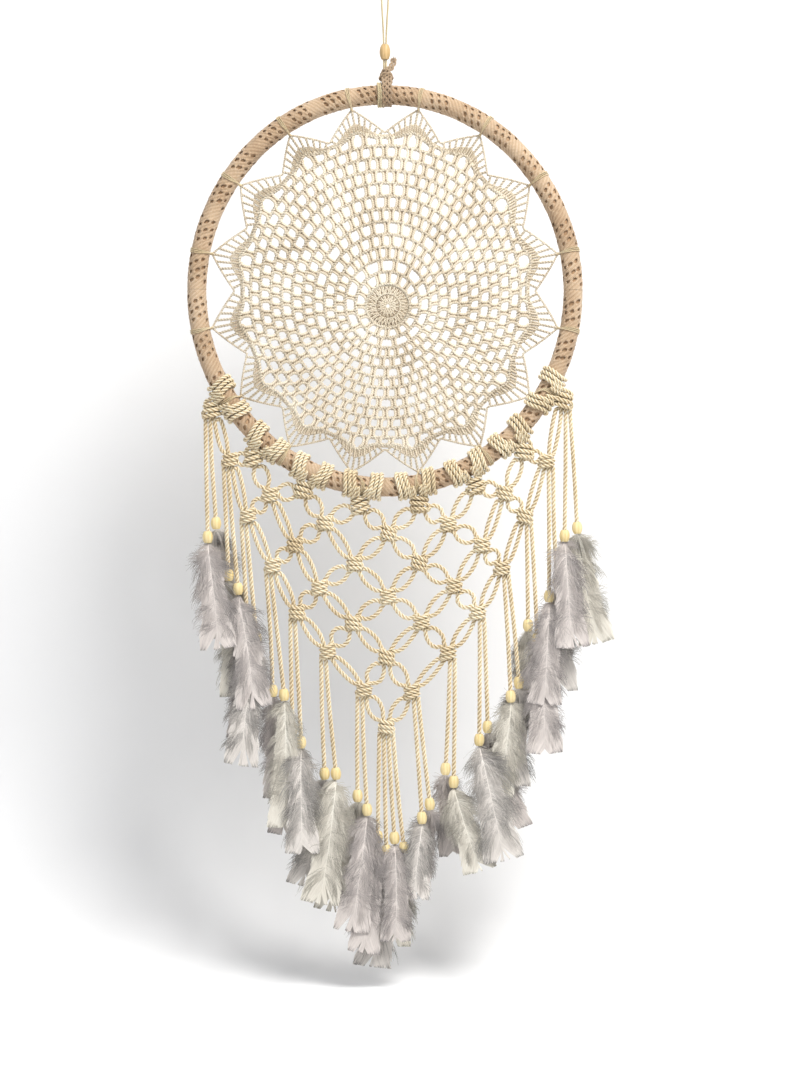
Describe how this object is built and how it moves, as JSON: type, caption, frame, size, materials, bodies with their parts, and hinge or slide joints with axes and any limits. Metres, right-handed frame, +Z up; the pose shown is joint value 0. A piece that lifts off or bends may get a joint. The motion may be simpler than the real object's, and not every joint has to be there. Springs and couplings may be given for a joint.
{
  "type": "macrame dream catcher",
  "caption": "Wall-hung dream catcher: an oval lace-wrapped hoop with a crocheted star web, and a knotted rope net below whose tails end in wooden beads and feathers.",
  "frame": {"origin": "where the hanging loop bears on its nail, inside the top of the loop", "axes": "+Z up, +X to the right for someone facing the front, front towards -Y"},
  "size_m": [0.426, 0.0296, 0.9925],
  "materials": {
    "rope": "twisted cream cotton rope",
    "thin_cord": "thin waxed cotton cord",
    "lace_wrap": "matte knitted lace strip",
    "crochet_thread": "fine crochet cotton",
    "bead_wood": "unvarnished pale wood",
    "rattan": "dark rattan cane",
    "feather": "pale grey down and vane"
  },
  "bodies": {
    "hanger": {"hanging_loop": "thin_cord"},
    "hanger_bead": {"hanger_bead": "bead_wood"},
    "hanger_cord": {"hanger_cord": "thin_cord"},
    "hoop": {"hanger_knot": "lace_wrap", "hanger_tie": "thin_cord", "hoop_ring": "rattan", "hoop_wrap": "lace_wrap", "web_doily": "crochet_thread", "web_ties": "crochet_thread", "hoop_hitches": "rope", "ring_knots": "rope", "net_knots": "rope", "net_cords_upper": "rope", "net_cords_lower": "rope"},
    "tail_left_1": {"tail_left_1_cords": "rope", "tail_left_1_beads": "bead_wood", "tail_left_1_feathers": "feather"},
    "tail_left_2": {"tail_left_2_cords": "rope", "tail_left_2_beads": "bead_wood", "tail_left_2_feathers": "feather"},
    "tail_left_3": {"tail_left_3_cords": "rope", "tail_left_3_beads": "bead_wood", "tail_left_3_feathers": "feather"},
    "tail_left_4": {"tail_left_4_cords": "rope", "tail_left_4_beads": "bead_wood", "tail_left_4_feathers": "feather"},
    "tail_left_5": {"tail_left_5_cords": "rope", "tail_left_5_beads": "bead_wood", "tail_left_5_feathers": "feather"},
    "tail_left_6": {"tail_left_6_cords": "rope", "tail_left_6_beads": "bead_wood", "tail_left_6_feathers": "feather"},
    "tail_left_7": {"tail_left_7_cords": "rope", "tail_left_7_beads": "bead_wood", "tail_left_7_feathers": "feather"},
    "tail_center": {"tail_center_cords": "rope", "tail_center_beads": "bead_wood", "tail_center_feathers": "feather"},
    "tail_right_7": {"tail_right_7_cords": "rope", "tail_right_7_beads": "bead_wood", "tail_right_7_feathers": "feather"},
    "tail_right_6": {"tail_right_6_cords": "rope", "tail_right_6_beads": "bead_wood", "tail_right_6_feathers": "feather"},
    "tail_right_5": {"tail_right_5_cords": "rope", "tail_right_5_beads": "bead_wood", "tail_right_5_feathers": "feather"},
    "tail_right_4": {"tail_right_4_cords": "rope", "tail_right_4_beads": "bead_wood", "tail_right_4_feathers": "feather"},
    "tail_right_3": {"tail_right_3_cords": "rope", "tail_right_3_beads": "bead_wood", "tail_right_3_feathers": "feather"},
    "tail_right_2": {"tail_right_2_cords": "rope", "tail_right_2_beads": "bead_wood", "tail_right_2_feathers": "feather"},
    "tail_right_1": {"tail_right_1_cords": "rope", "tail_right_1_beads": "bead_wood", "tail_right_1_feathers": "feather"}
  },
  "joints": [
    {"name": "hanger_bead_slide", "type": "slide", "parent": "hanger", "child": "hanger_bead", "axis": [0, 0, 1], "range_m": [-0.006, 0.006]},
    {"name": "hoop_twist", "type": "hinge", "parent": "hanger", "child": "hanger_cord", "pos_m": [0, 0, -0.0641], "axis": [0, 0, 1], "range_deg": [-180, 180], "stiffness_Nm_per_rad": 0.001},
    {"name": "hoop_swing", "type": "hinge", "parent": "hanger_cord", "child": "hoop", "pos_m": [0, 0, -0.083], "axis": [0, 1, 0], "range_deg": [-10, 10]},
    {"name": "tail_left_1_swing", "type": "hinge", "parent": "hoop", "child": "tail_left_1", "pos_m": [-0.1746, 0, -0.43464], "axis": [1, 0, 0], "range_deg": [-25, 25], "deforming": ["tail_left_1_feathers"]},
    {"name": "tail_left_2_swing", "type": "hinge", "parent": "hoop", "child": "tail_left_2", "pos_m": [-0.15633, 0, -0.48495], "axis": [1, 0, 0], "range_deg": [-25, 25], "deforming": ["tail_left_2_feathers"]},
    {"name": "tail_left_3_swing", "type": "hinge", "parent": "hoop", "child": "tail_left_3", "pos_m": [-0.13829, 0, -0.54145], "axis": [1, 0, 0], "range_deg": [-25, 25], "deforming": ["tail_left_3_feathers"]},
    {"name": "tail_left_4_swing", "type": "hinge", "parent": "hoop", "child": "tail_left_4", "pos_m": [-0.11348, 0, -0.59195], "axis": [1, 0, 0], "range_deg": [-25, 25], "deforming": ["tail_left_4_feathers"]},
    {"name": "tail_left_5_swing", "type": "hinge", "parent": "hoop", "child": "tail_left_5", "pos_m": [-0.08894, 0, -0.63895], "axis": [1, 0, 0], "range_deg": [-25, 25], "deforming": ["tail_left_5_feathers"]},
    {"name": "tail_left_6_swing", "type": "hinge", "parent": "hoop", "child": "tail_left_6", "pos_m": [-0.05777, 0, -0.67845], "axis": [1, 0, 0], "range_deg": [-25, 25], "deforming": ["tail_left_6_feathers"]},
    {"name": "tail_left_7_swing", "type": "hinge", "parent": "hoop", "child": "tail_left_7", "pos_m": [-0.0211, 0, -0.71695], "axis": [1, 0, 0], "range_deg": [-25, 25], "deforming": ["tail_left_7_feathers"]},
    {"name": "tail_center_swing", "type": "hinge", "parent": "hoop", "child": "tail_center", "pos_m": [0.00124, 0, -0.75445], "axis": [1, 0, 0], "range_deg": [-25, 25], "deforming": ["tail_center_feathers"]},
    {"name": "tail_right_7_swing", "type": "hinge", "parent": "hoop", "child": "tail_right_7", "pos_m": [0.0271, 0, -0.71914], "axis": [1, 0, 0], "range_deg": [-25, 25], "deforming": ["tail_right_7_feathers"]},
    {"name": "tail_right_6_swing", "type": "hinge", "parent": "hoop", "child": "tail_right_6", "pos_m": [0.06379, 0, -0.67976], "axis": [1, 0, 0], "range_deg": [-25, 25], "deforming": ["tail_right_6_feathers"]},
    {"name": "tail_right_5_swing", "type": "hinge", "parent": "hoop", "child": "tail_right_5", "pos_m": [0.09384, 0, -0.63935], "axis": [1, 0, 0], "range_deg": [-25, 25], "deforming": ["tail_right_5_feathers"]},
    {"name": "tail_right_4_swing", "type": "hinge", "parent": "hoop", "child": "tail_right_4", "pos_m": [0.11832, 0, -0.59455], "axis": [1, 0, 0], "range_deg": [-25, 25], "deforming": ["tail_right_4_feathers"]},
    {"name": "tail_right_3_swing", "type": "hinge", "parent": "hoop", "child": "tail_right_3", "pos_m": [0.14126, 0, -0.54177], "axis": [1, 0, 0], "range_deg": [-25, 25], "deforming": ["tail_right_3_feathers"]},
    {"name": "tail_right_2_swing", "type": "hinge", "parent": "hoop", "child": "tail_right_2", "pos_m": [0.16342, 0, -0.48636], "axis": [1, 0, 0], "range_deg": [-25, 25], "deforming": ["tail_right_2_feathers"]},
    {"name": "tail_right_1_swing", "type": "hinge", "parent": "hoop", "child": "tail_right_1", "pos_m": [0.18025, 0, -0.4253], "axis": [1, 0, 0], "range_deg": [-25, 25], "deforming": ["tail_right_1_feathers"]}
  ]
}
